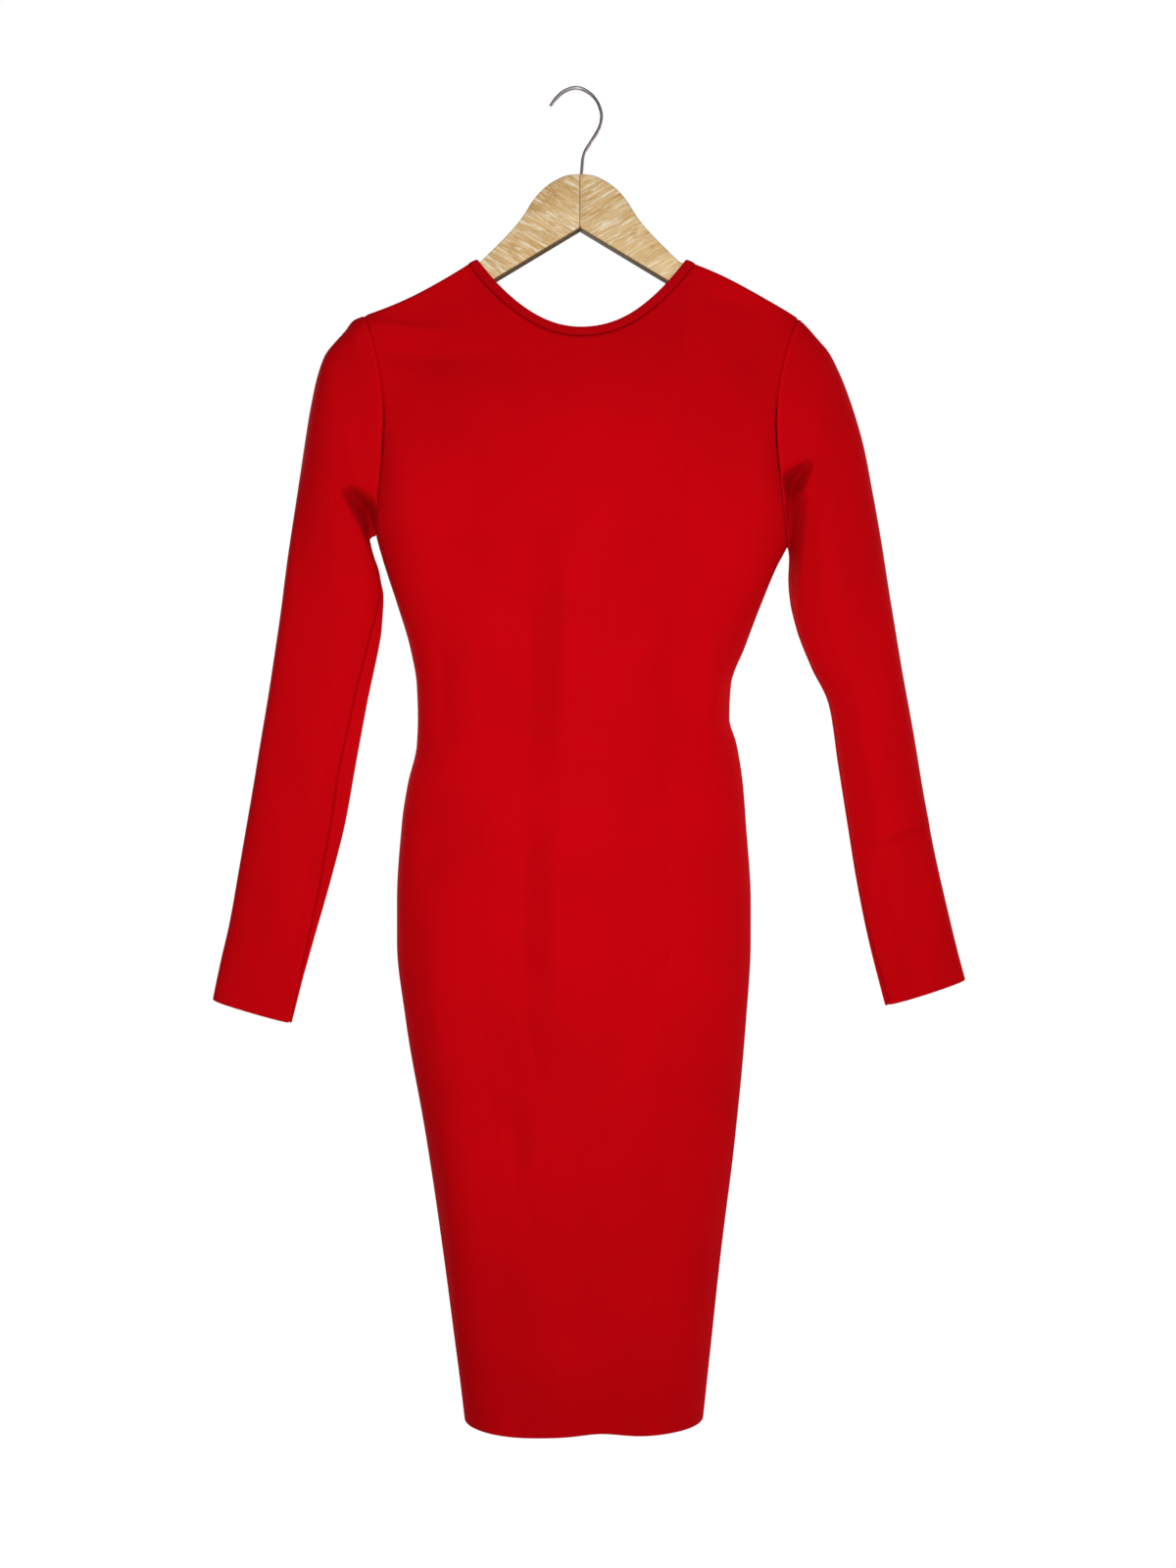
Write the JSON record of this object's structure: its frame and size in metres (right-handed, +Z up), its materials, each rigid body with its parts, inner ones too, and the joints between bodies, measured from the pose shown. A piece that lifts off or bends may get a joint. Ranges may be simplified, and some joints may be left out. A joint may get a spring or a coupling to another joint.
{
  "type": "bodycon dress on a wooden coat hanger",
  "caption": "Long-sleeved knitted bodycon dress with a scoop neck, hanging open and hollow on a flat wooden coat hanger with a wire hook.",
  "frame": {"origin": "underside of the wire hook's crown, where a rail or a nail carries it", "axes": "+X to the right of someone facing the front, +Y from the front of the dress to its back, +Z up"},
  "size_m": [0.6512, 0.0826, 1.1519],
  "materials": {
    "red_knit": "thick smooth fine-gauge knit with a soft sheen",
    "hanger_wood": "clear-lacquered pale hardwood",
    "hook_steel": "polished plated wire"
  },
  "bodies": {
    "root": {"front_panel": "red_knit", "back_panel": "red_knit", "sleeve_left": "red_knit", "sleeve_right": "red_knit", "neck_binding": "red_knit", "hanger_half_left": "hanger_wood", "hanger_half_right": "hanger_wood", "hanger_hook": "hook_steel"}
  },
  "joints": []
}
